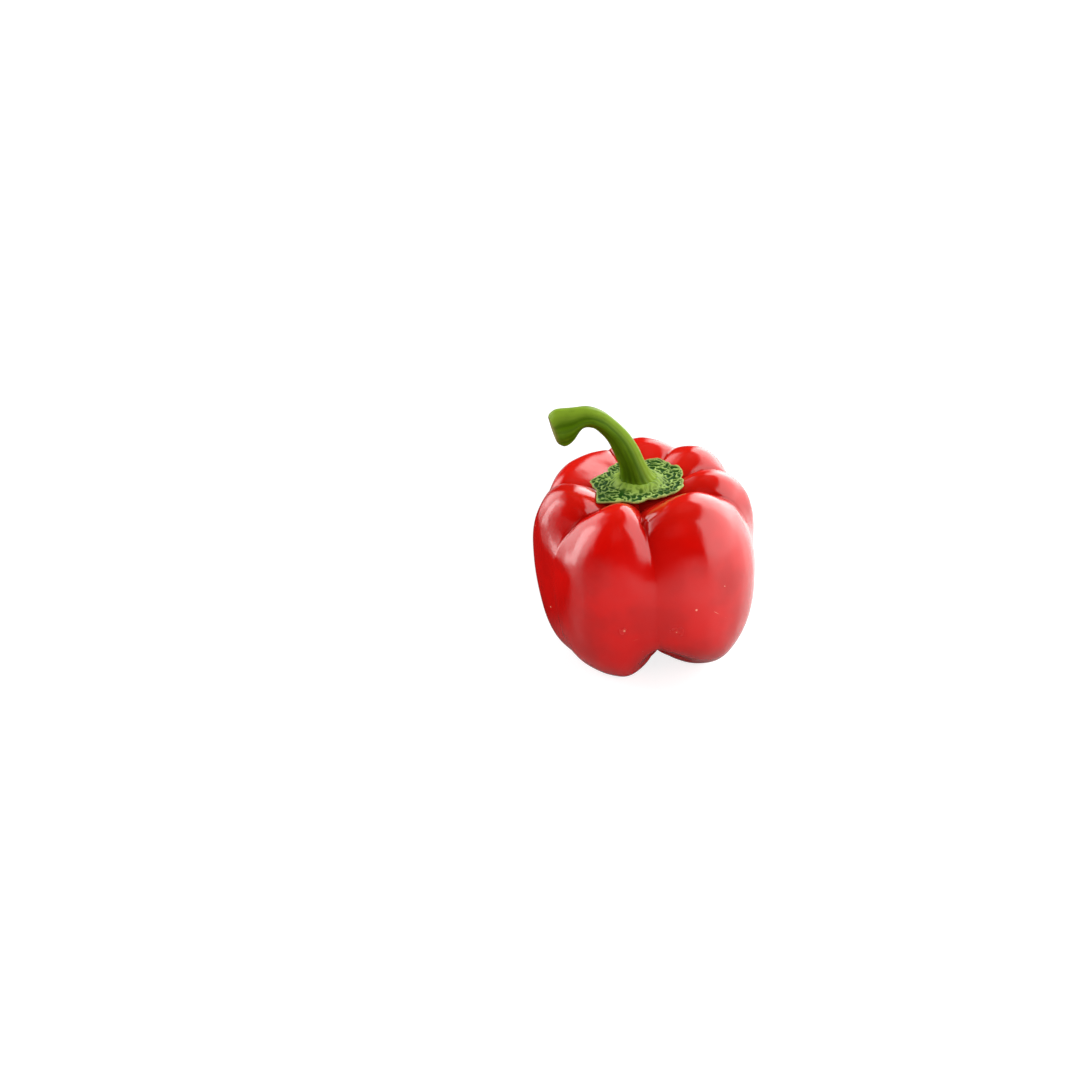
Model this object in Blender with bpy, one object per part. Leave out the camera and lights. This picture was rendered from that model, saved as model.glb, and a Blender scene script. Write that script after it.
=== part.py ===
"""Bell pepper: a lobed red fruit with its green calyx and hooked stem, standing on its lobes.

Metres, +Z up. The origin lies on the surface that the pepper stands on, under the middle of the
whole pepper. Angles are in degrees around +Z, counted from +X towards +Y.

The fruit is a turned shape whose section changes with the angle. Each lobe has its own section,
and the creases between the lobes are pressed into the surface.
"""

import math
from collections import namedtuple

import bmesh
import bpy
import numpy as np
from mathutils import Matrix, Vector

MM = 0.001
GAP = 0.3 * MM  # kept between neighbouring pieces

# The lobes of the fruit, at their angles seen from above, in millimetres. A lobe's section rises
# from the hollow to the crest, falls past the belly, its widest place, and ends at the foot. A reach
# is a radius, and fullness is the superellipse's exponent between belly and foot. A foot just below
# zero is one that the pepper stands on.
Lobe = namedtuple(
    "Lobe", "angle crest_reach crest_height belly_reach belly_height fullness foot_reach foot_height"
)
LOBES = (
    Lobe(42, 27, 74.0, 46.0, 43, 2.4, 23, -0.5),
    Lobe(84, 26, 73.5, 40.5, 44, 2.2, 20, 1.6),
    Lobe(145, 26, 70.5, 37.5, 44, 2.2, 20, -0.5),
    Lobe(205, 27, 73.0, 40.0, 49, 1.75, 26, 3.5),
    Lobe(253, 25, 73.0, 42.0, 41, 2.15, 21, -0.5),
    Lobe(312, 26, 74.5, 47.5, 38, 2.5, 20, -0.5),
    Lobe(366, 25, 72.0, 46.0, 40, 2.4, 23, 2.5),
)

# The creases between the lobes, each beyond the lobe of the same row. Depths in millimetres are
# how far a crease is pressed in at the crest, the belly and the foot. Turns are the degrees that
# it has moved round from its angle at the crest when it reaches the belly and the foot.
Crease = namedtuple("Crease", "angle crest_depth belly_depth foot_depth belly_turn foot_turn")
CREASES = (
    Crease(61, 4.0, 1.8, 8.0, 0, 2),
    Crease(110, 4.0, 0.6, 1.0, 0, 0),
    Crease(177, 6.0, 1.8, 7.0, -4, -4),
    Crease(230, 8.5, 2.6, 1.6, -15, -12),
    Crease(271.5, 9.0, 3.4, 14.5, 7.5, 18.5),
    Crease(349, 7.5, 2.6, 7.5, 12, 16),
    Crease(383, 5.5, 0.6, 1.2, 4, 4),
)

SEAT_HEIGHT = 67 * MM  # floor of the hollow, under the calyx
SEAT_SHARE = 0.3  # radius of that flat floor, as a share of the crest's reach
DIMPLE_HEIGHT = 15 * MM  # roof of the dimple between the feet
SHOULDER_FULLNESS = 2.1  # the superellipse's exponent between crest and belly
CREST, BELLY, FOOT = 0.24, 0.5, 0.8  # shares of the way from the top centre to the bottom centre

# Along the way, a crease's depth eases from stop to stop, and so does its softness: 0 is a fold with
# a sharp floor, and 1 is a wide valley.
DEPTH_STOPS = (0, 0.14, CREST, 0.36, BELLY, 0.57, 0.74, 0.92, 1)
SOFTNESS_STOPS, SOFTNESS = (0, CREST, BELLY, 0.68, FOOT, 1), (0.3, 0.15, 0.95, 0.75, 0.3, 0.3)
FRUIT_SEGMENTS, FRUIT_RINGS = 72, 44

# The calyx's outline, point by point: angle and radius in millimetres. Its long points reach into
# the creases, and its edge runs nearly straight between them.
CALYX_OUTLINE = (
    (28, 19.5), (45, 17.6), (62, 19.8), (88, 15.5), (113, 17.5), (146, 13.5), (180, 17.8), (203, 16.5),
    (225, 21.5), (247, 16.0), (268, 15.8), (284, 13.4), (318, 14.5), (352, 17.3), (370, 16.5),
)
CALYX_THICKNESS = 2.4 * MM
CALYX_EDGE_THICKNESS = 1.0 * MM
CALYX_RINGS = 8

# The stem's stations above the calyx, in the plane of its hook, in millimetres. Each has the place of
# its outer and of its inner edge, as distance towards the hook's end and height, and its half width.
Station = namedtuple("Station", "outer_out outer_up inner_out inner_up half_width")
STEM_STATIONS = (
    Station(-9.6, 0.0, 8.6, 0.0, 8.6),
    Station(-5.4, 3.2, 7.1, 2.8, 6.2),
    Station(-2.6, 8.0, 7.4, 7.1, 5.0),
    Station(0.1, 14.3, 9.3, 12.2, 4.5),
    Station(3.5, 19.9, 11.6, 17.3, 4.4),
    Station(7.7, 24.8, 14.3, 20.8, 4.4),
    Station(12.5, 29.0, 17.3, 23.2, 4.5),
    Station(18.6, 31.4, 21.0, 23.0, 4.7),
    Station(25.3, 31.3, 24.2, 18.0, 5.0),
    Station(30.8, 30.9, 27.2, 15.8, 5.0),
    Station(33.4, 28.4, 30.2, 17.0, 4.4),
)
STEM_HEADING = 184  # the angle round +Z that the hook points to
STEM_SEGMENTS, STEM_RINGS = 28, 31

COLOURS = {
    "fruit": ((0.55, 0.012, 0.006), 0.22),
    "calyx": ((0.10, 0.24, 0.05), 0.55),
    "stem": ((0.19, 0.36, 0.03), 0.42),
}


def ease(share):
    share = np.clip(share, 0.0, 1.0)
    return share * share * (3 - 2 * share)


def eased_between(place, stops, values):
    """The value at a place, eased from each stop's value to the next."""
    stops, values = np.asarray(stops, float), np.asarray(values, float)
    before = np.clip(np.searchsorted(stops, place, side="right") - 1, 0, len(stops) - 2)
    share = (place - stops[before]) / (stops[before + 1] - stops[before])
    return values[before] + (values[before + 1] - values[before]) * ease(share)


def eased_around(angle, stops, values):
    """The same round a full turn, for stops in rising degrees."""
    place = (np.asarray(angle, float) - stops[0]) % 360 + stops[0]
    return eased_between(place, [*stops, stops[0] + 360], [*values, values[0]])


def eased_rows(angle, rows, name):
    """One value of the lobes or of the creases at an angle, eased from row to row."""
    return eased_around(angle, [row.angle for row in rows], [getattr(row, name) for row in rows])


def section(angle, along):
    """Radius and height of the uncreased fruit, from the top centre (0) to the bottom centre (1)."""
    names = ("crest_reach", "crest_height", "belly_reach", "belly_height", "foot_reach", "foot_height")
    sizes = (eased_rows(angle, LOBES, name) * MM for name in names)
    crest_reach, crest_height, belly_reach, belly_height, foot_reach, foot_height = sizes
    fullness = eased_rows(angle, LOBES, "fullness")
    hollow = np.clip(along / CREST, 0, 1)
    shoulder = np.clip((along - CREST) / (BELLY - CREST), 0, 1) * math.pi / 2
    flank = np.clip((along - BELLY) / (FOOT - BELLY), 0, 1) * math.pi / 2
    dimple = np.clip((along - FOOT) / (1 - FOOT), 0, 1)
    where = [along < CREST, along < BELLY, along < FOOT]
    reach = np.select(
        where,
        [
            crest_reach * hollow,
            crest_reach + (belly_reach - crest_reach) * np.sin(shoulder) ** (2 / SHOULDER_FULLNESS),
            foot_reach + (belly_reach - foot_reach) * np.cos(flank) ** (2 / fullness),
        ],
        foot_reach * (1 - dimple),
    )
    rise = ease((hollow - SEAT_SHARE) / (1 - SEAT_SHARE)) ** 1.5
    height = np.select(
        where,
        [
            SEAT_HEIGHT + (crest_height - SEAT_HEIGHT) * rise,
            belly_height + (crest_height - belly_height) * np.cos(shoulder) ** (2 / SHOULDER_FULLNESS),
            belly_height - (belly_height - foot_height) * np.sin(flank) ** (2 / fullness),
        ],
        foot_height + (DIMPLE_HEIGHT - foot_height) * ease(dimple),
    )
    return reach, height


def crease_depth(angle, along):
    """How far the creases press the surface in at this place."""
    first = LOBES[0].angle
    lobes = np.array([lobe.angle - first for lobe in LOBES] + [360.0])
    turned = (angle - first) % 360
    which = np.searchsorted(lobes, turned, side="right") - 1
    crease = np.array([crease.angle - first for crease in CREASES])[which]
    room = np.where(turned < crease, crease - lobes[which], lobes[which + 1] - crease)
    share = np.clip(np.abs(turned - crease) / room, 0, 1)
    fold, valley = 1 - np.sqrt(1 - (1 - share) ** 2), 1 - ease(share)
    softness = eased_between(along, SOFTNESS_STOPS, SOFTNESS)
    depth = np.zeros_like(turned)
    for row, c in enumerate(CREASES):
        upper = (c.crest_depth + c.belly_depth) / 2
        depths = (0, 0.45 * c.crest_depth, c.crest_depth, upper, c.belly_depth, c.belly_depth,
                  c.foot_depth, 0.6 * c.foot_depth, 0)
        depth = np.where(which == row, eased_between(along, DEPTH_STOPS, depths), depth)
    return depth * MM * (fold * (1 - softness) + valley * softness)


def fruit_surface(angle, along):
    """Points of the fruit's skin, for arrays of angles in degrees and places along the section."""
    step = 1e-4
    reach, height = section(angle, along)
    reach_on, height_on = section(angle, np.minimum(along + step, 1))
    reach_back, height_back = section(angle, np.maximum(along - step, 0))
    out, up = height_back - height_on, reach_on - reach_back
    length = np.maximum(np.hypot(out, up), 1e-12)
    depth = crease_depth(angle, along)
    reach = np.maximum(reach - depth * out / length, 0)
    height = height - depth * up / length
    to_belly, to_foot = ease((along - CREST) / (BELLY - CREST)), ease((along - BELLY) / (FOOT - BELLY))
    belly_turn = eased_rows(angle, CREASES, "belly_turn")
    foot_turn = eased_rows(angle, CREASES, "foot_turn")
    heading = np.radians(angle + belly_turn * to_belly + (foot_turn - belly_turn) * to_foot)
    return np.stack([reach * np.cos(heading), reach * np.sin(heading), height], axis=-1)


def seat_height(angle, reach):
    """Height of the hollow's surface at these angles and radii, found by halving."""
    low, high = np.zeros_like(reach), np.full_like(reach, CREST)
    for _ in range(24):
        middle = (low + high) / 2
        points = fruit_surface(angle, middle)
        inside = np.hypot(points[..., 0], points[..., 1]) < reach
        low, high = np.where(inside, middle, low), np.where(inside, high, middle)
    return fruit_surface(angle, low)[..., 2]


def material(name):
    colour, roughness = COLOURS[name]
    made = bpy.data.materials.new(name)
    made.use_nodes = True
    shader = made.node_tree.nodes["Principled BSDF"]
    shader.inputs["Base Color"].default_value = (*colour, 1)
    shader.inputs["Roughness"].default_value = roughness
    shader.inputs["Metallic"].default_value = 0
    return made


def add_object(name, bm, parent):
    """A smooth-shaded object made from the bmesh, with the material of the same name."""
    mesh = bpy.data.meshes.new(name)
    bm.to_mesh(mesh)
    bm.free()
    mesh.shade_smooth()
    mesh.set_sharp_from_angle(angle=math.radians(50))
    mesh.materials.append(material(name))
    made = bpy.data.objects.new(name, mesh)
    made.parent = parent
    bpy.context.scene.collection.objects.link(made)
    return made


def ball(segments, rings):
    """A UV sphere of radius 1 as a bmesh, with each vertex's angle and its share of the way down."""
    bm = bmesh.new()
    bmesh.ops.create_uvsphere(bm, u_segments=segments, v_segments=rings, radius=1)
    points = np.array([vertex.co for vertex in bm.verts])
    angle = np.degrees(np.arctan2(points[:, 1], points[:, 0])).round(3)
    return bm, angle, np.arccos(np.clip(points[:, 2], -1, 1)) / math.pi


def make_fruit(parent):
    bm, angle, along = ball(FRUIT_SEGMENTS, FRUIT_RINGS)
    for vertex, place in zip(bm.verts, fruit_surface(angle, along)):
        vertex.co = place
    # The feet are flat where they stand.
    every = [*bm.verts, *bm.edges, *bm.faces]
    cut = bmesh.ops.bisect_plane(bm, geom=every, plane_co=(0, 0, 0), plane_no=(0, 0, -1), clear_outer=True)
    rims = [part for part in cut["geom_cut"] if isinstance(part, bmesh.types.BMEdge)]
    bmesh.ops.holes_fill(bm, edges=rims, sides=0)
    return add_object("fruit", bm, parent)


def calyx_top():
    """Height of the calyx's flat middle, which the stem stands on."""
    return SEAT_HEIGHT + GAP + CALYX_THICKNESS


def make_calyx(parent):
    """A cap on the floor of the hollow: its underside follows the fruit, and its middle is flat on top."""
    bm, angle, along = ball(FRUIT_SEGMENTS, 2 * CALYX_RINGS)
    angles, reaches = np.array(CALYX_OUTLINE).T
    inward = 1 - np.abs(2 * along - 1)
    place = (angle - angles[0]) % 360 + angles[0]
    reach = np.interp(place, [*angles, angles[0] + 360], [*reaches, reaches[0]]) * MM * inward
    under = seat_height(angle, reach) + GAP
    thickness = CALYX_THICKNESS + (CALYX_EDGE_THICKNESS - CALYX_THICKNESS) * ease(inward)
    top = np.maximum(under + thickness, calyx_top())
    above, below = along < 0.499, along > 0.501
    height = np.where(above, top, np.where(below, under, (top + under) / 2))
    heading = np.radians(angle)
    points = np.stack([reach * np.cos(heading), reach * np.sin(heading), height], axis=-1)
    for vertex, point in zip(bm.verts, points):
        vertex.co = point
    return add_object("calyx", bm, parent)


def smooth_line(knots, count):
    """Rows evenly numbered along a Catmull-Rom curve through the given rows."""
    knots = np.array([knots[0], *knots, knots[-1]], float)
    rows = []
    for place in np.linspace(0, len(knots) - 3, count):
        index = min(int(place), len(knots) - 4)
        t = place - index
        a, b, c, d = knots[index : index + 4]
        rows.append(b + t / 2 * (c - a + t * (2 * a - 5 * b + 4 * c - d + t * (3 * b - a - 3 * c + d))))
    return rows


def make_stem(parent):
    """Oval rings set across the stations' edges and bridged, with a cut face at the hook's end."""
    bm = bmesh.new()
    for row in smooth_line(STEM_STATIONS, STEM_RINGS):
        station = Station(*(row * MM))
        outer = Vector((station.outer_out, 0, station.outer_up))
        inner = Vector((station.inner_out, 0, station.inner_up))
        across, side = (outer - inner) / 2, Vector((0, station.half_width, 0))
        placed = Matrix.Identity(4)
        placed.col[0][:3], placed.col[1][:3] = across, side
        placed.col[3][:3] = (outer + inner) / 2 + Vector((0, 0, calyx_top() + GAP))
        bmesh.ops.create_circle(bm, segments=STEM_SEGMENTS, radius=1, matrix=placed)
    rings = np.array_split(bm.edges[:], STEM_RINGS)
    for lower, upper in zip(rings, rings[1:]):
        bmesh.ops.bridge_loops(bm, edges=[*lower, *upper])
    bmesh.ops.holes_fill(bm, edges=bm.edges, sides=0)
    bmesh.ops.recalc_face_normals(bm, faces=bm.faces)
    turn = Matrix.Rotation(math.radians(STEM_HEADING), 3, "Z")
    bmesh.ops.rotate(bm, cent=(0, 0, 0), matrix=turn, verts=bm.verts)
    return add_object("stem", bm, parent)


def clear_scene():
    for old in list(bpy.data.objects):
        bpy.data.objects.remove(old)


def centre_over_origin(pepper):
    """Moves the pepper so that the middle of its box is over the origin."""
    corners = np.array([vertex.co for child in pepper.children for vertex in child.data.vertices])
    middle = (corners.min(axis=0) + corners.max(axis=0)) / 2
    pepper.location = (-middle[0], -middle[1], 0)


def main():
    clear_scene()
    pepper = bpy.data.objects.new("pepper", None)
    bpy.context.scene.collection.objects.link(pepper)
    make_fruit(pepper)
    make_calyx(pepper)
    make_stem(pepper)
    centre_over_origin(pepper)


main()
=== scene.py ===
"""Bell pepper: the looks of a ripe red pepper, with its calyx and hooked stem, on a pale floor.

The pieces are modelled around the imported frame, in metres, +Z up. Angles are in degrees around +Z,
counted from +X towards +Y. The fruit's lobes and creases, the calyx's outline and the stem's
stations repeat the frame's sizes, and the pieces are set to its boxes.
"""

import math
from collections import namedtuple

import bmesh
import bpy
import numpy as np
from bpy.props import FloatProperty, FloatVectorProperty, IntProperty, PointerProperty
from mathutils import Matrix, Vector, noise


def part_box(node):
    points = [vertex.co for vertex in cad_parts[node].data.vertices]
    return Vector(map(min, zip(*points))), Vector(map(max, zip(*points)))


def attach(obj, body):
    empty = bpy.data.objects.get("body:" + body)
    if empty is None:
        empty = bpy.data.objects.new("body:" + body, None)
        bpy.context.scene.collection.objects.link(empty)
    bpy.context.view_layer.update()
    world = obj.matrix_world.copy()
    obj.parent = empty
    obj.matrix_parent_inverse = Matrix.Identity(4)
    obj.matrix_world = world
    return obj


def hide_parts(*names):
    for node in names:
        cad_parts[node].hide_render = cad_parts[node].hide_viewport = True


bl_info = {
    "name": "Bell Pepper",
    "version": (1, 0, 0),
    "blender": (4, 5, 0),
    "location": "View3D > Sidebar > Pepper",
    "description": "Models a ripe bell pepper with its calyx and hooked stem, and a small studio",
    "category": "Add Mesh",
}

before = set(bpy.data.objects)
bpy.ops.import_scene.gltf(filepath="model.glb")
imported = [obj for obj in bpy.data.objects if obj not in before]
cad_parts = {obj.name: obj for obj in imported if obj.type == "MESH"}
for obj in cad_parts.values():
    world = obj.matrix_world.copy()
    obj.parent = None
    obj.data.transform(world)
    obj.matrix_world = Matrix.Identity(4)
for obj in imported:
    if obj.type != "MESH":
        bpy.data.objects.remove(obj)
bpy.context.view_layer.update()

MM = 0.001
GAP = 0.3 * MM  # between the fruit's skin and the calyx

# The lobes of the fruit, in millimetres. A lobe's section rises from the hollow to the crest, falls
# past the belly, its widest place, and ends at the foot. A reach is a radius, and fullness is the
# superellipse's exponent between belly and foot.
Lobe = namedtuple(
    "Lobe",
    "angle crest_reach crest_height belly_reach belly_height fullness foot_reach foot_height",
)
LOBES = (
    Lobe(42, 27, 74.0, 46.0, 43, 2.4, 23, -0.5),
    Lobe(84, 26, 73.5, 40.5, 44, 2.2, 20, 1.6),
    Lobe(145, 26, 70.5, 37.5, 44, 2.2, 20, -0.5),
    Lobe(205, 27, 73.0, 40.0, 49, 1.75, 26, 3.5),
    Lobe(253, 25, 73.0, 42.0, 41, 2.15, 21, -0.5),
    Lobe(312, 26, 74.5, 47.5, 38, 2.5, 20, -0.5),
    Lobe(366, 25, 72.0, 46.0, 40, 2.4, 23, 2.5),
)

# The creases, each beyond the lobe of the same row, with their depths in millimetres at the crest,
# the belly and the foot, and the degrees that they have turned by the belly and by the foot.
Crease = namedtuple("Crease", "angle crest_depth belly_depth foot_depth belly_turn foot_turn")
CREASES = (
    Crease(61, 4.0, 1.8, 8.0, 0, 2),
    Crease(110, 4.0, 0.6, 1.0, 0, 0),
    Crease(177, 6.0, 1.8, 7.0, -4, -4),
    Crease(230, 8.5, 2.6, 1.6, -15, -12),
    Crease(271.5, 9.0, 3.4, 14.5, 7.5, 18.5),
    Crease(349, 7.5, 2.6, 7.5, 12, 16),
    Crease(383, 5.5, 0.6, 1.2, 4, 4),
)

SEAT_HEIGHT = 67 * MM  # floor of the hollow, under the calyx
SEAT_SHARE = 0.3  # radius of that flat floor, as a share of the crest's reach
DIMPLE_HEIGHT = 15 * MM  # roof of the dimple between the feet
SHOULDER_FULLNESS = 2.1  # the superellipse's exponent between crest and belly
CREST, BELLY, FOOT = 0.24, 0.5, 0.8  # shares of the way from the top centre to the bottom centre

# Along the way, a crease's depth eases from stop to stop, and so does its softness: 0 is a fold
# with a sharp floor, and 1 is a wide valley.
DEPTH_STOPS = (0, 0.14, CREST, 0.36, BELLY, 0.57, 0.74, 0.92, 1)
SOFTNESS_STOPS, SOFTNESS = (0, CREST, BELLY, 0.68, FOOT, 1), (0.3, 0.15, 0.95, 0.75, 0.3, 0.3)

# The calyx's outline: angle and radius in millimetres.
CALYX_OUTLINE = (
    (28, 19.5), (45, 17.6), (62, 19.8), (88, 15.5), (113, 17.5), (146, 13.5), (180, 17.8),
    (203, 16.5), (225, 21.5), (247, 16.0), (268, 15.8), (284, 13.4), (318, 14.5), (352, 17.3),
    (370, 16.5),
)

# The stem's stations above the calyx, in the plane of its hook, in millimetres: the places of its
# outer and of its inner edge, as distance towards the hook's end and height, and its half width.
Station = namedtuple("Station", "outer_out outer_up inner_out inner_up half_width")
STEM_STATIONS = (
    Station(-9.6, 0.0, 8.6, 0.0, 8.6),
    Station(-5.4, 3.2, 7.1, 2.8, 6.2),
    Station(-2.6, 8.0, 7.4, 7.1, 5.0),
    Station(0.1, 14.3, 9.3, 12.2, 4.5),
    Station(3.5, 19.9, 11.6, 17.3, 4.4),
    Station(7.7, 24.8, 14.3, 20.8, 4.4),
    Station(12.5, 29.0, 17.3, 23.2, 4.5),
    Station(18.6, 31.4, 21.0, 23.0, 4.7),
    Station(25.3, 31.3, 24.2, 18.0, 5.0),
    Station(30.8, 30.9, 27.2, 15.8, 5.0),
    Station(33.4, 28.4, 30.2, 17.0, 4.4),
)
STEM_HEADING = 184

# Small corky specks in the skin: angle, place along the section, radius in millimetres, and whether
# the skin round them is dull.
Speck = namedtuple("Speck", "angle along radius dull")
SPECKS = (
    Speck(290, 0.504, 0.50, 0), Speck(259, 0.548, 0.42, 1), Speck(264, 0.608, 0.30, 0),
    Speck(281, 0.548, 0.28, 1), Speck(303, 0.470, 0.22, 0), Speck(327, 0.560, 0.35, 0),
    Speck(8, 0.520, 0.40, 1), Speck(47, 0.450, 0.30, 0), Speck(81, 0.590, 0.45, 0),
    Speck(128, 0.500, 0.35, 1), Speck(166, 0.560, 0.30, 0), Speck(203, 0.450, 0.25, 0),
    Speck(222, 0.600, 0.40, 0), Speck(149, 0.330, 0.28, 0), Speck(0, 1.000, 1.60, 1),
)

# Fine scratches: angle, place along the section, slant in degrees and half length in millimetres.
Scratch = namedtuple("Scratch", "angle along slant half_length")
SCRATCHES = (
    Scratch(300, 0.512, 35, 3.5), Scratch(305, 0.524, 28, 2.5), Scratch(262, 0.570, -20, 2.2),
    Scratch(95, 0.530, 50, 4.0), Scratch(184, 0.510, -35, 3.0),
)

# The soft boxes far away round the studio: the direction of the middle, half the width, how high
# they reach above the horizon and how soft their edges are, all in degrees, and their brightness.
SoftBox = namedtuple("SoftBox", "angle half_width top blur strength")
SOFT_BOXES = (
    SoftBox(-7, 42, 54, 6, 3.3),
    SoftBox(58, 22, 50, 6, 4.6),
    SoftBox(160, 39, 39, 6, 3.1),
    SoftBox(163, 30, 55, 6, 0.8),
)
DARK_ROOM = 0.005  # brightness of the room between the soft boxes
WHITE_ROOM = 1.2  # brightness of the room where the camera looks past the pepper
MATTE_SHARE = 0.8  # share of the room's light that matte surfaces get

# The lights near the pepper, in metres. Each one's power is a setting of the same name. Those that
# aren't glossy give light but no reflections.
NearLight = namedtuple("NearLight", "name place aim width height glossy")
NEAR_LIGHTS = (
    NearLight("fill_front", (-0.1, -1.15, 0.97), (0, 0, 0.04), 0.8, 0.8, False),
    NearLight("overhead", (0.1, 0.35, 1.3), (0, 0, 0.05), 0.7, 0.7, False),
    NearLight("bounce", (0.0, -0.14, 0.003), (0.0, -0.02, 0.05), 0.20, 0.10, False),
    NearLight("strip_left", (-0.19, -0.01, 0.085), (-0.04, 0.0, 0.06), 0.055, 0.15, True),
)
# Painted shade: a dark patch on the floor behind the pepper's left, which darkens the pepper's lower
# left in its reflections.
PAINTED_SHADE_MIDDLE = (-0.115, 0.065, 0)  # middle of the floor's dark corner
PAINTED_SHADE_REACH = (0.085, 0.125)  # how far it reaches: dark within the first, gone past the second


# ---------------------------------------------------------------------------------------- settings


def millimetres(name, description, default, low=0.0, high=200.0):
    return FloatProperty(
        name=name, description=description, default=default * MM, min=low * MM, max=high * MM,
        unit="LENGTH", precision=5,
    )


def colour(name, description, default):
    return FloatVectorProperty(
        name=name, description=description, default=default, size=3, min=0.0, max=1.0,
        subtype="COLOR",
    )


def faces(name, description, default, low, high):
    return IntProperty(name=name, description=description, default=default, min=low, max=high)


def watts(name, description, default):
    return FloatProperty(
        name=name, description=description, default=default, min=0.0, max=500.0, unit="POWER"
    )


class PepperFruitSettings(bpy.types.PropertyGroup):
    segments: faces("Segments", "Faces round the fruit", 360, 36, 400)
    rings: faces("Rings", "Faces from top to bottom", 250, 24, 260)
    swell: millimetres("Swell", "Height of the broad swellings and dents", 0.55)
    swell_size: millimetres("Swell size", "Width of the broad swellings", 21)
    ripple: millimetres("Ripple", "Height of the ripples that run down the lobes", 0.10)
    ripple_size: millimetres("Ripple size", "Width of the ripples", 5)
    ripe_red: colour("Ripe red", "Colour of the skin", (0.54, 0.0018, 0.0006))
    # Deep red is also the painted shade in the creases.
    deep_red: colour("Deep red", "Colour of the darker patches", (0.42, 0.002, 0.001))
    # Painted light: the skin round the hollow and over the shoulders is painted brighter and warmer,
    # as lit from above.
    crown_red: colour("Crown red", "Warmer colour round the hollow", (0.70, 0.016, 0.008))
    speck: colour("Speck", "Colour of the small corky specks", (0.85, 0.45, 0.30))


class PepperCalyxSettings(bpy.types.PropertyGroup):
    segments: faces("Segments", "Faces round the calyx", 300, 36, 400)
    rings: faces("Rings", "Faces from its middle to its rim", 64, 8, 90)
    thickness: millimetres("Thickness", "Thickness in the middle", 2.4)
    edge: millimetres("Edge thickness", "Thickness at the rim", 0.6)
    ridge: millimetres("Ridge height", "Height of the net of ridges", 0.6)
    cell: millimetres("Cell size", "Width of the curls that the ridges make", 1.8)
    collar: millimetres("Collar height", "How far the middle rises round the stem", 2.2)
    ridge_green: colour("Ridge green", "Colour of the ridges", (0.37, 0.53, 0.13))
    # Painted shade: the dark green of the pits in the net. It also tints random patches darker.
    pit_green: colour("Pit green", "Colour of the pits", (0.012, 0.062, 0.003))
    rim_green: colour("Rim green", "Colour of the dry rim", (0.36, 0.46, 0.13))
    collar_green: colour("Collar green", "Colour of the ribs round the stem", (0.21, 0.33, 0.03))


class PepperStemSettings(bpy.types.PropertyGroup):
    segments: faces("Segments", "Faces round the stem", 144, 24, 200)
    rings: faces("Rings", "Faces along the stem", 230, 40, 300)
    rib: millimetres("Rib height", "Depth of the grooves between the ribs", 0.6)
    askew: millimetres("Askew", "How far the cut's sides stand before or behind its middle", 0.7)
    sunk: millimetres("Sunk", "How far the middle of the cut face sinks in", 0.9)
    stem_green: colour("Stem green", "Colour of the stem", (0.062, 0.130, 0.0008))
    # Painted shade in the grooves between the ribs. The same green darkens random mottles.
    shaded_green: colour("Shaded green", "Colour in the grooves", (0.036, 0.080, 0.0005))
    # Paler green: painted light on the hook's outer side, and the stem's own paler streaks, flare
    # and end.
    young_green: colour("Young green", "Colour of the sunny side and streaks", (0.19, 0.30, 0.02))
    cut_cream: colour("Cut cream", "Colour of the cut face", (0.58, 0.50, 0.24))
    dried_brown: colour("Dried brown", "Colour of the cut's dry edge", (0.20, 0.12, 0.04))


class PepperStageSettings(bpy.types.PropertyGroup):
    floor_size: FloatProperty(
        name="Floor size", description="Side of the floor", default=5.0, min=1.0, max=20.0,
        unit="LENGTH",
    )
    # Painted light: the floor is painted grey at its left and white at its right, as lit from the
    # right.
    floor_shaded_grey: colour("Floor grey", "Colour of the floor in front", (0.33, 0.33, 0.33))
    floor_lit_white: colour("Floor white", "Colour of the floor at its right", (0.85, 0.85, 0.85))
    # Painted shade: the colour of the dark patch behind the pepper's left.
    floor_dark: colour("Floor dark", "Colour of the floor's dark corner", (0.03, 0.02, 0.02))
    floor_glow: FloatProperty(
        name="Floor glow", description="How bright the floor looks of its own", default=0.80,
        min=0.0, max=5.0,
    )
    fill_front: watts("Fill", "Power of the large light in front", 5.4)
    overhead: watts("Overhead", "Power of the large light above", 5.8)
    bounce: watts("Bounce", "Power of the light from the floor in front", 0.19)
    strip_left: watts("Strip", "Power of the narrow light at the left", 0.11)
    camera_distance: FloatProperty(
        name="Camera distance", description="From the camera to the pepper's foot", default=1.0,
        min=0.3, max=5.0, unit="LENGTH",
    )
    camera_lift: FloatProperty(
        name="Camera lift", description="How far down the camera looks", default=math.radians(30),
        min=0.0, max=math.radians(90), subtype="ANGLE",
    )
    lens: FloatProperty(
        name="Lens", description="Focal length in mm", default=86.8, min=20.0, max=200.0
    )
    right_of_middle: millimetres("Right of middle", "Its place in the view", 39.2, -300, 300)
    below_middle: millimetres("Below middle", "Its place in the view", 38.8, -300, 300)


# ------------------------------------------------------------------------------------- mathematics


def ease(share):
    share = np.clip(share, 0.0, 1.0)
    return share * share * (3 - 2 * share)


def eased_between(place, stops, values):
    """The value at a place, eased from each stop's value to the next."""
    stops, values = np.asarray(stops, float), np.asarray(values, float)
    before = np.clip(np.searchsorted(stops, place, side="right") - 1, 0, len(stops) - 2)
    share = (place - stops[before]) / (stops[before + 1] - stops[before])
    return values[before] + (values[before + 1] - values[before]) * ease(share)


def eased_rows(angle, rows, name):
    """One value of the lobes or of the creases at an angle, eased from row to row."""
    stops = [row.angle for row in rows]
    values = [getattr(row, name) for row in rows]
    place = (np.asarray(angle, float) - stops[0]) % 360 + stops[0]
    return eased_between(place, [*stops, stops[0] + 360], [*values, values[0]])


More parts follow.
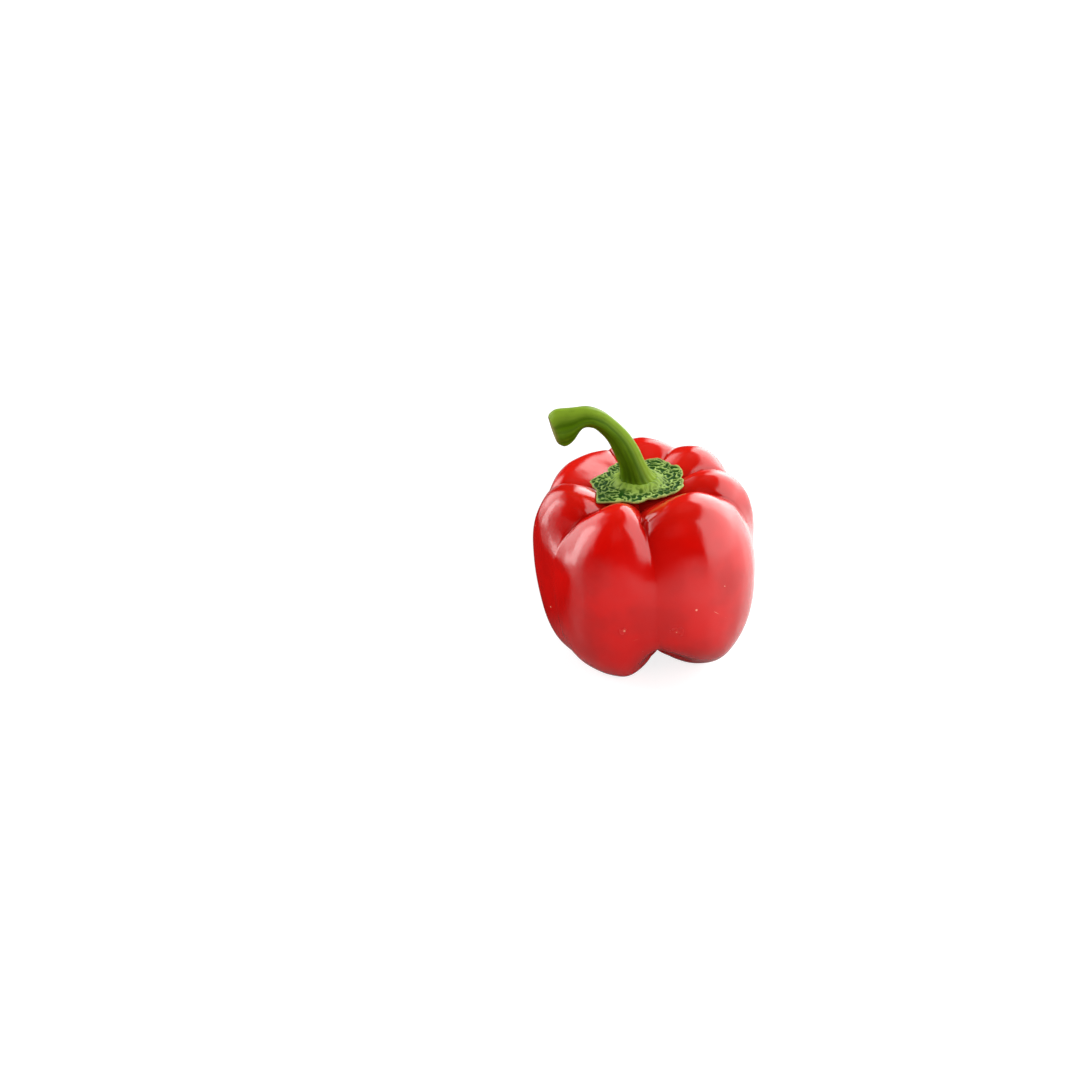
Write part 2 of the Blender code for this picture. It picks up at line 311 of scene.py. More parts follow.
def section(angle, along):
    """Radius and height of the uncreased fruit, from the top centre (0) to the bottom one (1)."""
    crest_reach, crest_height, belly_reach, belly_height, foot_reach, foot_height = (
        eased_rows(angle, LOBES, f"{level}_{size}") * MM
        for level in ("crest", "belly", "foot")
        for size in ("reach", "height")
    )
    fullness = eased_rows(angle, LOBES, "fullness")
    hollow = np.clip(along / CREST, 0, 1)
    shoulder = np.clip((along - CREST) / (BELLY - CREST), 0, 1) * math.pi / 2
    flank = np.clip((along - BELLY) / (FOOT - BELLY), 0, 1) * math.pi / 2
    dimple = np.clip((along - FOOT) / (1 - FOOT), 0, 1)
    inverse = 2 / SHOULDER_FULLNESS
    where = [along < CREST, along < BELLY, along < FOOT]
    reach = np.select(
        where,
        [
            crest_reach * hollow,
            crest_reach + (belly_reach - crest_reach) * np.sin(shoulder) ** inverse,
            foot_reach + (belly_reach - foot_reach) * np.cos(flank) ** (2 / fullness),
        ],
        foot_reach * (1 - dimple),
    )
    rise = ease((hollow - SEAT_SHARE) / (1 - SEAT_SHARE)) ** 1.5
    height = np.select(
        where,
        [
            SEAT_HEIGHT + (crest_height - SEAT_HEIGHT) * rise,
            belly_height + (crest_height - belly_height) * np.cos(shoulder) ** inverse,
            belly_height - (belly_height - foot_height) * np.sin(flank) ** (2 / fullness),
        ],
        foot_height + (DIMPLE_HEIGHT - foot_height) * ease(dimple),
    )
    return reach, height


def crease_depth(angle, along):
    """How far the creases press the surface in, in metres. A lobe spans from crease to crease."""
    first = LOBES[0].angle
    lobes = np.array([lobe.angle - first for lobe in LOBES] + [360.0])
    turned = (angle - first) % 360
    which = np.searchsorted(lobes, turned, side="right") - 1
    crease = np.array([crease.angle - first for crease in CREASES])[which]
    room = np.where(turned < crease, crease - lobes[which], lobes[which + 1] - crease)
    share = np.clip(np.abs(turned - crease) / room, 0, 1)
    fold, valley = 1 - np.sqrt(1 - (1 - share) ** 2), 1 - ease(share)
    softness = eased_between(along, SOFTNESS_STOPS, SOFTNESS)
    depth = np.zeros_like(turned)
    for row, c in enumerate(CREASES):
        upper = (c.crest_depth + c.belly_depth) / 2
        depths = (0, 0.45 * c.crest_depth, c.crest_depth, upper, c.belly_depth, c.belly_depth,
                  c.foot_depth, 0.6 * c.foot_depth, 0)
        depth = np.where(which == row, eased_between(along, DEPTH_STOPS, depths), depth)
    return depth * MM * (fold * (1 - softness) + valley * softness)


def fruit_surface(angle, along):
    """Points of the fruit's skin, for arrays of angles in degrees and places along the section."""
    step = 1e-4
    reach, height = section(angle, along)
    reach_on, height_on = section(angle, np.minimum(along + step, 1))
    reach_back, height_back = section(angle, np.maximum(along - step, 0))
    out, up = height_back - height_on, reach_on - reach_back
    length = np.maximum(np.hypot(out, up), 1e-12)
    depth = crease_depth(angle, along)
    reach = np.maximum(reach - depth * out / length, 0)
    height = height - depth * up / length
    to_belly = ease((along - CREST) / (BELLY - CREST))
    to_foot = ease((along - BELLY) / (FOOT - BELLY))
    belly_turn = eased_rows(angle, CREASES, "belly_turn")
    foot_turn = eased_rows(angle, CREASES, "foot_turn")
    heading = np.radians(angle + belly_turn * to_belly + (foot_turn - belly_turn) * to_foot)
    return np.stack([reach * np.cos(heading), reach * np.sin(heading), height], axis=-1)


def seat_height(angle, reach, halvings=24):
    """Height of the hollow's surface at these angles and radii, found by halving."""
    low, high = np.zeros_like(reach), np.full_like(reach, CREST)
    for _ in range(halvings):
        middle = (low + high) / 2
        points = fruit_surface(angle, middle)
        inside = np.hypot(points[..., 0], points[..., 1]) < reach
        low, high = np.where(inside, middle, low), np.where(inside, high, middle)
    return fruit_surface(angle, low)[..., 2]


def turning_axis():
    """Where the fruit's middle line stands in the frame, from the box of its node."""
    angle, along = np.meshgrid(np.arange(0, 360, 1.0), np.linspace(0, 1, 200))
    points = fruit_surface(angle, along).reshape(-1, 3)
    middle = (points.min(axis=0) + points.max(axis=0)) / 2
    low, high = (np.array(corner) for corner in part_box("fruit"))
    return ((low + high) / 2 - middle) * (1, 1, 0)


def roughness_field(points, size, stretch=1.0, seed=0.0):
    """Smooth noise between about -1 and 1 at each point, in lumps of the given size."""
    places = points / size + seed
    places[:, 2] /= stretch
    return np.array([noise.noise(Vector(place)) for place in places])


# ------------------------------------------------------------------------------------ mesh helpers


def ball(segments, rings):
    """A sphere of radius 1 as a bmesh, with each vertex's angle and its share of the way down."""
    bm = bmesh.new()
    bmesh.ops.create_uvsphere(bm, u_segments=segments, v_segments=rings, radius=1)
    points = np.array([vertex.co for vertex in bm.verts])
    angle = np.degrees(np.arctan2(points[:, 1], points[:, 0])).round(3)
    return bm, angle, np.arccos(np.clip(points[:, 2], -1, 1)) / math.pi


def place(bm, points):
    """Moves the vertices to the points, and returns their normals."""
    for vertex, point in zip(bm.verts, points):
        vertex.co = point
    bm.normal_update()
    return np.array([vertex.normal for vertex in bm.verts])


def fitted(points, low, high):
    """The points, stretched to fill a box."""
    least, most = points.min(axis=0), points.max(axis=0)
    return np.array(low) + (points - least) / (most - least) * (np.array(high) - np.array(low))


def add_piece(name, bm, node, slot, material, **marks):
    """Turns the bmesh into a smooth piece that stands for a node, with marks as its attributes."""
    mesh = bpy.data.meshes.new(name)
    bm.to_mesh(mesh)
    bm.free()
    mesh.shade_smooth()
    for mark, values in marks.items():
        kind, field = ("FLOAT_VECTOR", "vector") if values.ndim > 1 else ("FLOAT", "value")
        layer = mesh.attributes.new(mark, kind, "POINT")
        layer.data.foreach_set(field, values.astype(np.float32).ravel())
    mesh.materials.append(material)
    piece = bpy.data.objects.new(name, mesh)
    bpy.context.scene.collection.objects.link(piece)
    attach(piece, "root")
    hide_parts(node)
    return piece


# -------------------------------------------------------------------------------------- materials


class Recipe:
    """The node tree of a material or of the sky. An input is a socket or a value."""

    def __init__(self, owner, shader="Principled BSDF", place="Object"):
        owner.use_nodes = True
        self.owner, self.tree = owner, owner.node_tree
        self.shader = self.tree.nodes[shader]
        self.place = self.add("ShaderNodeTexCoord").outputs[place]

    def add(self, kind, inputs=None, **settings):
        node = self.tree.nodes.new(kind)
        for name, value in settings.items():
            setattr(node, name, value)
        for socket, value in (inputs or {}).items():
            self.feed(node.inputs[socket], value)
        return node

    def feed(self, socket, value):
        if isinstance(value, bpy.types.NodeSocket):
            self.tree.links.new(value, socket)
        elif hasattr(value, "__len__") and len(value) == 3 and socket.type == "RGBA":
            socket.default_value = (*value, 1)
        else:
            socket.default_value = value

    def mark(self, name, output="Fac"):
        """One of the piece's own attributes."""
        return self.add("ShaderNodeAttribute", attribute_name=name).outputs[output]

    def noise(self, scale, detail=2.0, place=None, rough=0.5):
        place = place or self.place
        inputs = {"Vector": place, "Scale": scale, "Detail": detail, "Roughness": rough}
        return self.add("ShaderNodeTexNoise", inputs).outputs["Fac"]

    def ranged(self, value, low, high, to_low=0.0, to_high=1.0):
        """The value's way from low to high, as a smooth step from to_low to to_high."""
        inputs = {0: value, 1: low, 2: high, 3: to_low, 4: to_high}
        node = self.add("ShaderNodeMapRange", inputs, interpolation_type="SMOOTHSTEP")
        return node.outputs["Result"]

    def math(self, operation, first, second=0.0, third=0.0):
        inputs = {0: first, 1: second, 2: third}
        return self.add("ShaderNodeMath", inputs, operation=operation).outputs[0]

    def vector(self, operation, first, second=(0, 0, 0), output="Vector"):
        inputs = {0: first, 1: second}
        return self.add("ShaderNodeVectorMath", inputs, operation=operation).outputs[output]

    def mix(self, share, first, second):
        """The first colour, and the second one where the share is 1."""
        inputs = {0: share, 6: first, 7: second}  # a Mix node's sockets 6 and 7 are its colours
        return self.add("ShaderNodeMix", inputs, data_type="RGBA").outputs[2]

    def bump(self, height, strength, distance, normal=None):
        inputs = {"Height": height, "Strength": strength, "Distance": distance}
        if normal:
            inputs["Normal"] = normal
        return self.add("ShaderNodeBump", inputs).outputs["Normal"]

    def finish(self, **inputs):
        for name, value in inputs.items():
            self.feed(self.shader.inputs[name.replace("_", " ")], value)
        return self.owner


def skin_point(angle, along):
    """One point of the skin, in the frame."""
    point = fruit_surface(np.array([float(angle)]), np.array([float(along)]))[0]
    return Vector(point + turning_axis())


def scratch_mark(recipe, scratch, blur):
    """How strong a scratch is, and 0 away from it. The blur breaks it up along its length."""
    centre = skin_point(scratch.angle, scratch.along)
    ahead = skin_point(scratch.angle + 1, scratch.along) - centre
    down = skin_point(scratch.angle, scratch.along + 0.01) - centre
    slant = math.radians(scratch.slant)
    way = ahead.normalized() * math.cos(slant) + down.normalized() * math.sin(slant)
    offset = recipe.vector("SUBTRACT", recipe.place, centre)
    cross = recipe.vector("CROSS_PRODUCT", offset, way)
    aside = recipe.vector("LENGTH", cross, output="Value")
    far = recipe.vector("LENGTH", offset, output="Value")
    line = recipe.ranged(aside, 0.06 * MM, 0.16 * MM, 0.45, 0)
    ends = recipe.ranged(far, 0.5 * scratch.half_length * MM, scratch.half_length * MM, 1, 0)
    whole = recipe.math("MULTIPLY", line, ends)
    return recipe.math("MULTIPLY", whole, recipe.ranged(blur, 0.3, 0.6))


def skin_material(settings):
    """Waxy red skin with darker patches, painted shade in the creases, painted light round the
    hollow, pores, corky specks and scratches.
    """
    recipe = Recipe(bpy.data.materials.new("ripe_skin"))
    patches = recipe.ranged(recipe.noise(48, 3), 0.38, 0.66)
    red = recipe.mix(patches, settings.ripe_red, settings.deep_red)
    # Painted light: brighter, warmer red round the hollow, as lit from above.
    crown = recipe.math("MULTIPLY", recipe.mark("crown"), 0.75)
    red = recipe.mix(crown, red, settings.crown_red)
    # Painted shade: the skin is painted darker in the creases, by their depth.
    fold = recipe.math("MULTIPLY", recipe.mark("fold"), 0.65)
    red = recipe.mix(fold, red, settings.deep_red)
    blur = recipe.noise(700, 2)
    specks, dull = 0.0, 0.0
    for speck in SPECKS:
        centre = skin_point(speck.angle, speck.along)
        far = recipe.vector("DISTANCE", recipe.place, centre, "Value")
        dot = recipe.ranged(far, 0.5 * speck.radius * MM, 1.2 * speck.radius * MM, 1, 0)
        specks = recipe.math("MAXIMUM", dot, specks)
        if speck.dull:
            dull = recipe.math("MAXIMUM", recipe.ranged(far, 1.5 * MM, 5.5 * MM, 1, 0), dull)
    for scratch in SCRATCHES:
        specks = recipe.math("MAXIMUM", scratch_mark(recipe, scratch, blur), specks)
    dull = recipe.math("MULTIPLY", dull, recipe.ranged(recipe.noise(260, 3), 0.35, 0.65))
    red = recipe.mix(recipe.math("MULTIPLY", dull, 0.45), red, settings.deep_red)
    red = recipe.mix(recipe.math("MULTIPLY", specks, 0.75), red, settings.speck)
    scuffs = recipe.ranged(recipe.noise(95, 5, rough=0.62), 0.56, 0.76)
    gloss = recipe.ranged(recipe.noise(30, 2), 0.3, 0.7, 0.12, 0.17)
    rough = recipe.math("ADD", gloss, recipe.math("MULTIPLY", scuffs, 0.07))
    rough = recipe.math("ADD", rough, recipe.math("MULTIPLY", dull, 0.15))
    pores = recipe.noise(1400, 2)
    grain = recipe.noise(420, 3)
    normal = recipe.bump(pores, 0.10, 0.00012)
    normal = recipe.bump(grain, 0.12, 0.00035, normal)
    return recipe.finish(
        Base_Color=red, Roughness=rough, Normal=normal, IOR=1.5, Subsurface_Weight=0.05,
        Subsurface_Radius=(0.9, 0.12, 0.05), Subsurface_Scale=0.002,
    )


def calyx_material(settings):
    """Pale net of ridges over pits painted dark as painted shade, with a ribbed collar round the
    stem and a dry rim.
    """
    recipe = Recipe(bpy.data.materials.new("calyx_green"))
    ridge, rim = recipe.mark("ridge"), recipe.mark("rim")
    blotch = recipe.noise(520, 4)
    unevenness = recipe.math("MULTIPLY", recipe.math("SUBTRACT", blotch, 0.5), 0.7)
    height = recipe.math("ADD", ridge, unevenness)
    # Painted shade: the lower the net, the darker the green, so the pits carry painted shade.
    green = recipe.mix(recipe.ranged(height, 0.15, 0.95), settings.pit_green, settings.ridge_green)
    tint = recipe.ranged(recipe.noise(230, 2), 0.4, 0.7, 0.0, 0.55)
    green = recipe.mix(tint, green, settings.pit_green)
    ribs = recipe.ranged(height, 0.0, 0.8, 0.2, 0.9)
    root = recipe.math("MULTIPLY", recipe.mark("collar"), ribs)
    green = recipe.mix(root, green, settings.collar_green)
    green = recipe.mix(recipe.math("MULTIPLY", rim, 0.8), green, settings.rim_green)
    rough = recipe.ranged(blotch, 0.3, 0.7, 0.42, 0.62)
    normal = recipe.bump(recipe.noise(1500, 3), 0.35, 0.0002)
    return recipe.finish(Base_Color=green, Roughness=rough, Normal=normal, Specular_IOR_Level=0.12)


def stem_material(settings):
    """Ribbed green with streaks along the stem, painted shade in the grooves and painted light on
    the hook's outer side, and a cream cut face in a green and brown ring.
    """
    recipe = Recipe(bpy.data.materials.new("stem_green"))
    grain = recipe.mark("grain", "Vector")
    rib = recipe.mark("rib")
    streaks = recipe.noise(3.2, 5, grain, 0.6)
    # Painted shade: the grooves between the ribs are painted darker.
    green = recipe.mix(recipe.ranged(rib, 0.1, 0.9), settings.shaded_green, settings.stem_green)
    green = recipe.mix(recipe.ranged(streaks, 0.45, 0.85, 0.0, 0.35), green, settings.young_green)
    mottles = recipe.ranged(recipe.noise(330, 3), 0.42, 0.75, 0.0, 0.15)
    # Painted light: the hook's outer side is painted paler. The flare and the end near the cut are
    # paler of their own.
    green = recipe.mix(recipe.mark("pale"), green, settings.young_green)
    green = recipe.mix(mottles, green, settings.shaded_green)
    cut = recipe.mark("cut")
    fibres = recipe.noise(1500, 3)
    fibres = recipe.ranged(fibres, 0.40, 0.75, 0.0, 0.6)
    cream = recipe.mix(fibres, settings.cut_cream, settings.dried_brown)
    ring = recipe.mark("ring")
    cream = recipe.mix(recipe.ranged(ring, 0.55, 0.80, 0.0, 0.7), cream, settings.stem_green)
    cream = recipe.mix(recipe.ranged(ring, 0.90, 0.98, 0.0, 0.8), cream, settings.dried_brown)
    green = recipe.mix(recipe.ranged(cut, 0.45, 0.55), green, cream)
    green = recipe.mix(recipe.mark("dry"), green, settings.dried_brown)
    rough = recipe.ranged(streaks, 0.3, 0.7, 0.34, 0.5)
    normal = recipe.bump(recipe.noise(9, 4, grain, 0.6), 0.15, 0.0003)
    return recipe.finish(Base_Color=green, Roughness=rough, Normal=normal, Specular_IOR_Level=0.06)


def floor_material(settings):
    """Glossy board, painted grey at its left and white at its right as a painted pool of light from
    the right, with a dark patch of painted shade behind the pepper's left. It glows for the camera,
    which sees it as white.
    """
    recipe = Recipe(bpy.data.materials.new("studio_floor"))
    # Painted light: grey at the left, white at the right, as lit from the right.
    right = recipe.add("ShaderNodeSeparateXYZ", {0: recipe.place}).outputs["X"]
    tone = recipe.mix(recipe.ranged(right, 0.0, 0.10), settings.floor_shaded_grey, settings.floor_lit_white)
    # Painted shade: the dark patch behind the pepper's left, with its gloss taken away.
    far = recipe.vector("DISTANCE", recipe.place, PAINTED_SHADE_MIDDLE, "Value")
    corner = recipe.ranged(far, *PAINTED_SHADE_REACH, 1, 0)
    tone = recipe.mix(corner, tone, settings.floor_dark)
    # Extra glow hides the painted shade patch from the camera.
    seen = recipe.add("ShaderNodeLightPath").outputs["Is Camera Ray"]
    glow = recipe.math("ADD", recipe.math("MULTIPLY", corner, 0.20), settings.floor_glow)
    return recipe.finish(
        Base_Color=tone, Roughness=0.14,
        Specular_IOR_Level=recipe.math("MULTIPLY_ADD", corner, -0.5, 0.5),
        Emission_Color=(1, 1, 1), Emission_Strength=recipe.math("MULTIPLY", seen, glow),
    )


# -------------------------------------------------------------------------------------- operators


class PEPPER_OT_fruit(bpy.types.Operator):
    """Model the fruit: lobes, creases, hollow and feet, with the skin's own unevenness"""

    bl_idname = "pepper.fruit"
    bl_label = "Add Fruit"

    def execute(self, context):
        settings = context.scene.pepper_fruit
        bm, angle, along = ball(settings.segments, settings.rings)
        points = fruit_surface(angle, along)
        normals = place(bm, points)
        swell = roughness_field(points, settings.swell_size, 1.3)
        ripple = roughness_field(points, settings.ripple_size, 3.0, 7.0)
        points += normals * (settings.swell * swell + settings.ripple * ripple)[:, None]
        points[:, 2] = np.maximum(points[:, 2], 0)
        place(bm, fitted(points, *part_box("fruit")))
        # Painted shade: how much darker the skin is painted in the creases.
        fold = ease(crease_depth(angle, along) / (5 * MM))
        # Painted light: full round the hollow, fading out down the shoulders.
        crown = 1 - ease((along - 0.18) / 0.24)
        material = skin_material(settings)
        add_piece("pepper_fruit", bm, "fruit", "skin", material, fold=fold, crown=crown)
        return {"FINISHED"}


class PEPPER_OT_calyx(bpy.types.Operator):
    """Model the calyx: a thin cap with a net of ridges, a raised collar and an uneven rim"""

    bl_idname = "pepper.calyx"
    bl_label = "Add Calyx"

    COLLAR_REACH, COLLAR_FADE = 7.0 * MM, 5.0 * MM  # the collar's radius, and its slope's width
    RIM_START, RIM_FADE = 0.95, 0.04  # the dry rim, as shares of the way from the middle
    VEINS = 21
    CURL_SIZE, CURL_SHIFT = 4 * MM, 1.0 * MM  # how widely and how far the net is bent
    EQUATOR = (0.4999, 0.5001)  # the ring that is the rim lies between these shares of the way down

    def execute(self, context):
        settings = context.scene.pepper_calyx
        bm, angle, along = ball(settings.segments, 2 * settings.rings)
        angles, reaches = np.array(CALYX_OUTLINE).T
        outward = 1 - np.abs(2 * along - 1)
        around = (angle - angles[0]) % 360 + angles[0]
        outline = np.interp(around, [*angles, angles[0] + 360], [*reaches, reaches[0]]) * MM
        heading = np.radians(angle)
        flat = np.stack([np.cos(heading), np.sin(heading), np.zeros_like(angle)], axis=-1)
        outline *= 1 + 0.035 * roughness_field(flat, 0.16)
        reach = outline * outward
        under = seat_height(angle, reach) + GAP
        thickness = settings.thickness + (settings.edge - settings.thickness) * ease(outward)
        middle_top = SEAT_HEIGHT + GAP + settings.thickness
        top = np.maximum(under + thickness, middle_top)
        under = np.maximum(under, top - thickness - 0.2 * MM)  # it bridges the creases
        points = flat * reach[:, None]
        # The net follows the lines where a rough noise crosses zero. Veins run out from the stem.
        bend = [roughness_field(points, self.CURL_SIZE, 1, seed) for seed in (3.1, 9.7)]
        curls = points + np.stack([*bend, 0 * reach], axis=-1) * self.CURL_SHIFT
        lumps = roughness_field(curls, settings.cell, 1, 21.3)
        lumps += 0.3 * roughness_field(curls, 0.5 * settings.cell, 1, 40.9)
        net = 1 - ease(np.abs(lumps) / 0.30)
        veins = ease(0.5 + 0.5 * np.cos(heading * self.VEINS + 6 * bend[0]) - 0.3)
        collar = 1 - ease((reach - self.COLLAR_REACH) / self.COLLAR_FADE)
        net = np.maximum(net * (1 - 0.85 * collar), veins * (0.15 + 0.65 * collar))
        rim = ease((outward - self.RIM_START) / self.RIM_FADE)
        relief = settings.ridge * (net - 0.35) * (1 - 0.75 * collar) * (1 - 0.6 * rim)
        top = top + relief + settings.collar * collar**1.5
        above, below = along < self.EQUATOR[0], along > self.EQUATOR[1]
        points[:, 2] = np.where(above, top, np.where(below, under, 0.65 * top + 0.35 * under))
        place(bm, points + turning_axis())
        ridge = np.clip(net + 0.45 * collar, 0, 1)
        material = calyx_material(settings)
        marks = {"ridge": ridge, "rim": rim, "collar": collar}
        add_piece("pepper_calyx", bm, "calyx", "calyx_green", material, **marks)
        return {"FINISHED"}


def stem_sizes(share):
    """The stations' values, in metres, at shares of the stem's length, on a Catmull-Rom curve."""
    knots = np.array([STEM_STATIONS[0], *STEM_STATIONS, STEM_STATIONS[-1]], float)
    whole = np.clip(share, 0, 1) * (len(STEM_STATIONS) - 1)
    index = np.minimum(whole.astype(int), len(STEM_STATIONS) - 2)
    t = (whole - index)[:, None]
    a, b, c, d = (knots[index + step] for step in range(4))
    rows = b + t / 2 * (c - a + t * (2 * a - 5 * b + 4 * c - d + t * (3 * b - a - 3 * c + d)))
    return Station(*(rows * MM).T)


class PEPPER_OT_stem(bpy.types.Operator):
    """Model the stem: a ribbed hook that flares into the calyx and ends in a cut face"""

    bl_idname = "pepper.stem"
    bl_label = "Add Stem"

    CUT_SHARE = 0.10  # share of the rings that lie on the cut face
    BASE_SHARE = 0.96  # from here on, the rings close the stem's underside
    BROAD_RIBS, FINE_RIBS = 5, 17
    FIBRE_HEIGHT, FIBRE_SIZE = 0.25 * MM, 1.2 * MM  # of the cut's torn fibres

    def execute(self, context):
        settings = context.scene.pepper_stem
        bm, angle, along = ball(settings.segments, settings.rings)
        up_stem = (self.BASE_SHARE - along) / (self.BASE_SHARE - self.CUT_SHARE)
        share = np.clip(up_stem, 0, 1)
        on_cut = np.clip(along / self.CUT_SHARE, 0, 1)
        on_base = np.clip((1 - along) / (1 - self.BASE_SHARE), 0, 1)
        sizes = stem_sizes(share)
        turn = np.radians(angle)
        # Broad ribs that twist a little, with fine ones on them that grow towards the calyx.
        broad = 0.5 + 0.5 * np.cos(self.BROAD_RIBS * turn + 1.5 * share + 0.6)
        fine = 0.5 + 0.5 * np.cos(self.FINE_RIBS * turn - 2.0 * share)
        grain = np.stack([np.cos(turn), np.sin(turn), 1.6 * share], axis=-1)
        lumps = roughness_field(grain, 0.35, 1.0)
        roots = 1 - ease(share / 0.16)
        grooves = 0.75 * (1 - broad) + (0.10 + 0.7 * roots) * (1 - fine) + 0.25 * lumps
        level = 0 * share
        outer = np.stack([sizes.outer_out, level, sizes.outer_up], axis=-1)
        inner = np.stack([sizes.inner_out, level, sizes.inner_up], axis=-1)
        centre, across = (outer + inner) / 2, (outer - inner) / 2
        side = np.stack([level, -sizes.half_width, level], axis=-1)
        spread = np.cos(turn)[:, None] * across + np.sin(turn)[:, None] * side
        length = np.linalg.norm(spread, axis=-1)
        rounded = 1 - 0.10 * ease((share - 0.965) / 0.035) ** 2
        groove = np.maximum(settings.rib * grooves, 0)
        size = (1 - groove / length) * rounded * on_cut * on_base
        points = centre + spread * size[:, None]
        # The cut runs askew. Its face sinks in towards the middle, and its fibres are torn.
        askew = ease((share - 0.85) / 0.15) * np.sin(turn) * size * settings.askew
        facing = np.cross(across, side)
        facing /= np.linalg.norm(facing, axis=-1)[:, None]
        points += facing * askew[:, None]
        torn = self.FIBRE_HEIGHT * roughness_field(points, self.FIBRE_SIZE) * (1 - on_cut**8)
        sunk = settings.sunk * (1 - on_cut**4) + torn
        points -= facing * np.where(along < self.CUT_SHARE, sunk, 0)[:, None]
        heading = Matrix.Rotation(math.radians(STEM_HEADING), 3, "Z")
        points = points @ np.array(heading).T
        base = SEAT_HEIGHT + 2 * GAP + context.scene.pepper_calyx.thickness
        points += turning_axis() + (0, 0, base)
        points[:, 2] = np.minimum(points[:, 2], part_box("stem")[1].z)
        place(bm, points)
        rib = np.clip(broad * (0.6 - 0.4 * roots) + fine * (0.4 + 0.6 * roots) - 0.25 * lumps, 0, 1)
        # Painted light: the hook's outer, upper side, where the light falls, is painted paler. The
        # flare at the base and the end near the cut are paler of their own.
        pale = 0.9 * ease((np.cos(turn) - 0.3) / 0.65) + 0.15 * ease((share - 0.8) / 0.2)
        pale = np.clip(pale + 0.35 * (1 - ease(share / 0.12)), 0, 0.95)
        cut = (along < self.CUT_SHARE).astype(float)
        dry = 0.7 * ease((share - 0.93) / 0.07) * ease(0.5 + roughness_field(points, 5 * MM) * 1.5)
        dry *= 1 - cut
        material = stem_material(settings)
        marks = {"rib": rib, "pale": pale, "cut": cut, "ring": on_cut, "dry": dry, "grain": grain}
        add_piece("pepper_stem", bm, "stem", "stem_green", material, **marks)
        return {"FINISHED"}


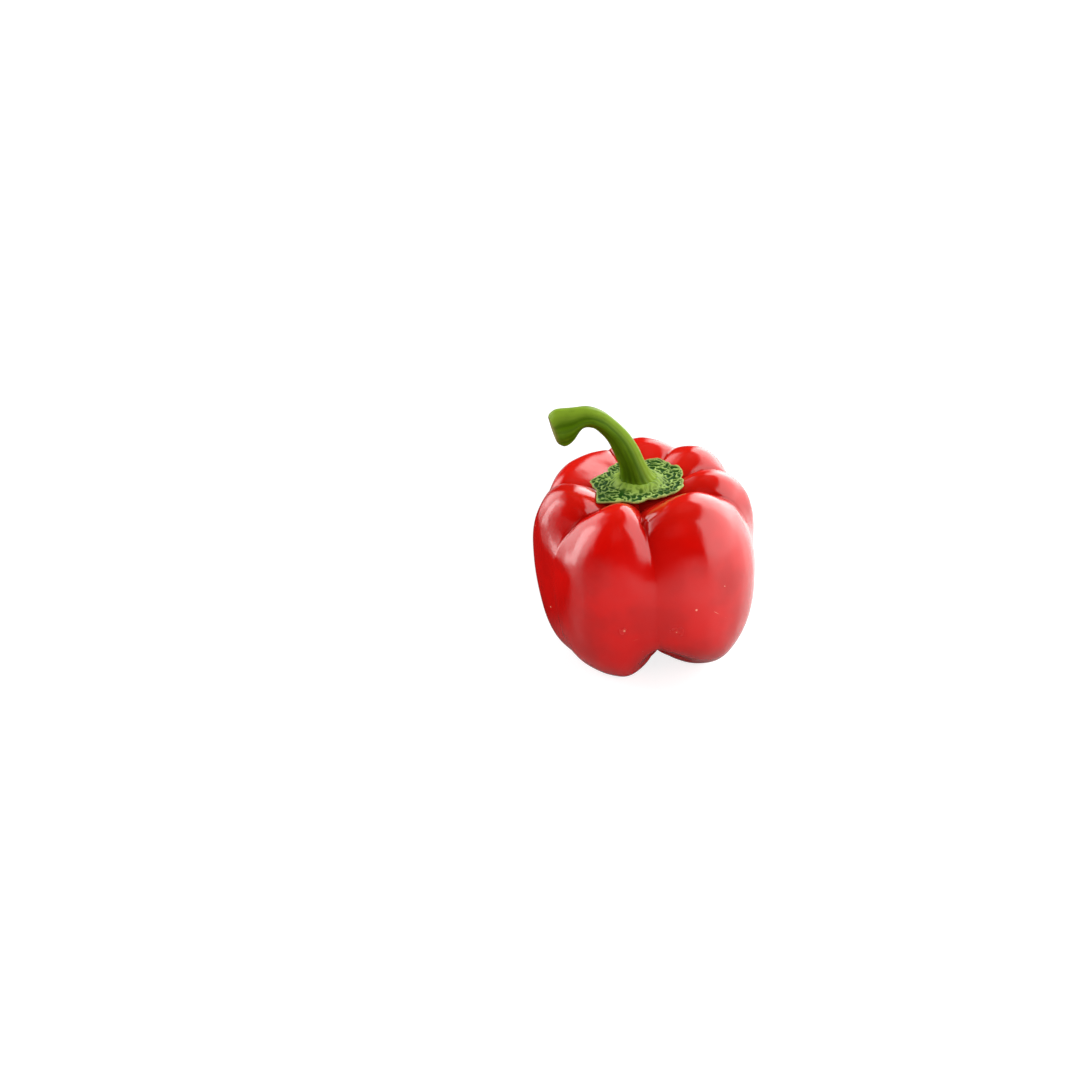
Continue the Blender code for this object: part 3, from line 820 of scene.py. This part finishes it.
class PEPPER_OT_stage(bpy.types.Operator):
    """Set the studio: a pale floor, lights, a dark room with soft boxes in it, and the camera"""

    bl_idname = "pepper.stage"
    bl_label = "Add Stage"

    def execute(self, context):
        settings = context.scene.pepper_stage
        self.add_floor(settings)
        for near_light in NEAR_LIGHTS:
            self.add_light(near_light, getattr(settings, near_light.name))
        self.set_sky(context.scene)
        self.add_camera(context.scene, settings)
        context.scene.view_settings.view_transform = "Standard"
        return {"FINISHED"}

    def add_floor(self, settings):
        bm = bmesh.new()
        bmesh.ops.create_grid(bm, x_segments=8, y_segments=8, size=settings.floor_size / 2)
        mesh = bpy.data.meshes.new("studio_floor")
        bm.to_mesh(mesh)
        bm.free()
        mesh.materials.append(floor_material(settings))
        floor = bpy.data.objects.new("studio_floor", mesh)
        bpy.context.scene.collection.objects.link(floor)

    def add_light(self, near_light, power):
        """A soft box near the pepper, turned to its aim, that the camera itself doesn't see."""
        light = bpy.data.lights.new(near_light.name, "AREA")
        light.shape, light.energy = "RECTANGLE", power
        light.size, light.size_y = near_light.width, near_light.height
        box = bpy.data.objects.new(near_light.name, light)
        box.location = near_light.place
        way = Vector(near_light.aim) - Vector(near_light.place)
        box.rotation_euler = way.to_track_quat("-Z", "Y").to_euler()
        box.visible_camera, box.visible_glossy = False, near_light.glossy
        bpy.context.scene.collection.objects.link(box)

    def set_sky(self, scene):
        """A dark room with soft boxes round it. The camera itself sees it as white."""
        scene.world = bpy.data.worlds.new("studio_sky")
        sky = Recipe(scene.world, "Background", "Generated")
        around = sky.vector("NORMALIZE", sky.vector("MULTIPLY", sky.place, (1, 1, 0)))
        up = sky.add("ShaderNodeSeparateXYZ", {0: sky.place}).outputs["Z"]
        total = DARK_ROOM
        for box in SOFT_BOXES:
            turn, half, top, blur = (math.radians(value) for value in box[:4])
            way = (math.cos(turn), math.sin(turn), 0)
            facing = sky.vector("DOT_PRODUCT", around, way, "Value")
            sides = sky.ranged(facing, math.cos(half + blur), math.cos(half - blur))
            below = sky.ranged(up, math.sin(top - blur), math.sin(top + blur), box.strength, 0)
            total = sky.math("ADD", total, sky.math("MULTIPLY", sides, below))
        rays = sky.add("ShaderNodeLightPath").outputs
        matte = sky.ranged(rays["Is Diffuse Ray"], 0, 1, 1, MATTE_SHARE)
        total = sky.math("MULTIPLY", total, matte)
        seen = sky.math("MULTIPLY", rays["Is Camera Ray"], WHITE_ROOM)
        sky.finish(Color=(1, 1, 1), Strength=sky.math("MAXIMUM", total, seen))

    def add_camera(self, scene, settings):
        """Looks down at the pepper, which stands off the middle of the view."""
        camera = bpy.data.cameras.new("camera")
        camera.lens = settings.lens
        camera.clip_start, camera.clip_end = 0.01, 20
        view = bpy.data.objects.new("camera", camera)
        turn = Matrix.Rotation(math.pi / 2 - settings.camera_lift, 3, "X")
        aim = turn @ Vector((-settings.right_of_middle, settings.below_middle, 0))
        view.location = turn @ Vector((0, 0, settings.camera_distance)) + aim
        view.rotation_euler = turn.to_euler()
        scene.collection.objects.link(view)
        scene.camera = view


class PEPPER_PT_panel(bpy.types.Panel):
    """The pepper's pieces and its studio"""

    bl_idname = "PEPPER_PT_panel"
    bl_label = "Bell Pepper"
    bl_space_type = "VIEW_3D"
    bl_region_type = "UI"
    bl_category = "Pepper"

    def draw(self, context):
        for operator in OPERATORS:
            self.layout.operator(operator.bl_idname)


SETTINGS = {
    "pepper_fruit": PepperFruitSettings,
    "pepper_calyx": PepperCalyxSettings,
    "pepper_stem": PepperStemSettings,
    "pepper_stage": PepperStageSettings,
}
OPERATORS = (PEPPER_OT_fruit, PEPPER_OT_calyx, PEPPER_OT_stem, PEPPER_OT_stage)


def register():
    for kind in (*SETTINGS.values(), *OPERATORS, PEPPER_PT_panel):
        bpy.utils.register_class(kind)
    for name, group in SETTINGS.items():
        setattr(bpy.types.Scene, name, PointerProperty(type=group))


def unregister():
    for name in SETTINGS:
        delattr(bpy.types.Scene, name)
    for kind in (PEPPER_PT_panel, *OPERATORS, *SETTINGS.values()):
        bpy.utils.unregister_class(kind)


def main():
    register()
    bpy.ops.pepper.fruit()
    bpy.ops.pepper.calyx()
    bpy.ops.pepper.stem()
    bpy.ops.pepper.stage()


if __name__ == "__main__":
    main()
